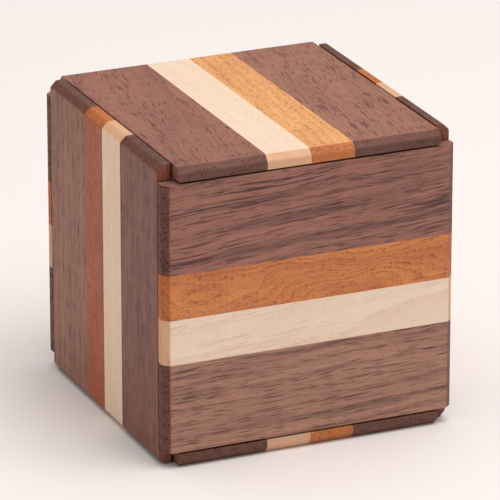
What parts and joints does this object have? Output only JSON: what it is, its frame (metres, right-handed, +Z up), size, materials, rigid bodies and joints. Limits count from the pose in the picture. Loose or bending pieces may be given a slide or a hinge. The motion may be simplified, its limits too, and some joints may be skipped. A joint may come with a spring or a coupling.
{
  "type": "wooden puzzle box",
  "caption": "Cube-shaped wooden puzzle box with striped sliding panels on every face, hidden sliding locks and a square compartment under a lid that slides off.",
  "frame": {"origin": "under the middle of the box, on the surface that it stands on", "axes": "+X to the right along the front panel's stripes, +Y from the front to the back, +Z up"},
  "size_m": [0.086, 0.086, 0.086],
  "materials": {
    "walnut": "satin oiled",
    "maple": "satin oiled",
    "padauk": "satin oiled",
    "core_walnut": "matt, waxed",
    "rail_maple": "matt, waxed",
    "key_maple": "matt, waxed"
  },
  "bodies": {
    "core": {"core_floor": "core_walnut", "core_front_wall": "core_walnut", "core_back_wall": "core_walnut", "core_left_wall": "core_walnut", "core_right_wall": "core_walnut", "lid_rail_low": "rail_maple", "lid_rail_high": "rail_maple", "front_block_1": "rail_maple", "front_block_2": "rail_maple", "front_block_3": "rail_maple", "front_block_4": "rail_maple", "left_block_1": "rail_maple", "left_block_2": "rail_maple", "left_block_3": "rail_maple", "left_block_4": "rail_maple", "bottom_block_1": "rail_maple", "bottom_block_2": "rail_maple", "bottom_block_3": "rail_maple", "bottom_block_4": "rail_maple", "back_block_1": "rail_maple", "back_block_2": "rail_maple", "back_block_3": "rail_maple", "back_block_4": "rail_maple", "right_block_1": "rail_maple", "right_block_2": "rail_maple", "right_block_3": "rail_maple", "right_block_4": "rail_maple", "front_stop_peg": "rail_maple", "left_stop_peg": "rail_maple", "bottom_stop_peg": "rail_maple", "back_stop_peg": "rail_maple", "right_stop_peg": "rail_maple"},
    "lid": {"lid_walnut_low": "walnut", "lid_maple": "maple", "lid_padauk": "padauk", "lid_walnut_high": "walnut"},
    "front_panel": {"front_walnut_low": "walnut", "front_maple": "maple", "front_padauk": "padauk", "front_walnut_high": "walnut"},
    "left_panel": {"left_walnut_low": "walnut", "left_maple": "maple", "left_padauk": "padauk", "left_walnut_high": "walnut"},
    "bottom_panel": {"bottom_walnut_low": "walnut", "bottom_maple": "maple", "bottom_padauk": "padauk", "bottom_walnut_high": "walnut"},
    "back_panel": {"back_walnut_low": "walnut", "back_maple": "maple", "back_padauk": "padauk", "back_walnut_high": "walnut"},
    "right_panel": {"right_walnut_low": "walnut", "right_maple": "maple", "right_padauk": "padauk", "right_walnut_high": "walnut"},
    "lid_key": {"lid_key": "key_maple"},
    "front_key": {"front_key": "key_maple"},
    "left_key": {"left_key": "key_maple"}
  },
  "joints": [
    {"name": "lid_slide", "type": "slide", "parent": "core", "child": "lid", "axis": [0, -1, 0], "range_m": [0, 0.09]},
    {"name": "front_panel_slide", "type": "slide", "parent": "core", "child": "front_panel", "axis": [-1, 0, 0], "range_m": [0, 0.012]},
    {"name": "left_panel_slide", "type": "slide", "parent": "core", "child": "left_panel", "axis": [0, 0, 1], "range_m": [0, 0.012]},
    {"name": "bottom_panel_slide", "type": "slide", "parent": "core", "child": "bottom_panel", "axis": [0, -1, 0], "range_m": [0, 0.012]},
    {"name": "back_panel_slide", "type": "slide", "parent": "core", "child": "back_panel", "axis": [-1, 0, 0], "range_m": [0, 0.012]},
    {"name": "right_panel_slide", "type": "slide", "parent": "core", "child": "right_panel", "axis": [0, 0, 1], "range_m": [0, 0.012]},
    {"name": "lid_key_slide", "type": "slide", "parent": "core", "child": "lid_key", "axis": [0, 0, -1], "range_m": [-0.0025, 0]},
    {"name": "front_key_slide", "type": "slide", "parent": "core", "child": "front_key", "axis": [0, 1, 0], "range_m": [-0.0025, 0]},
    {"name": "left_key_slide", "type": "slide", "parent": "core", "child": "left_key", "axis": [1, 0, 0], "range_m": [-0.0025, 0]}
  ]
}
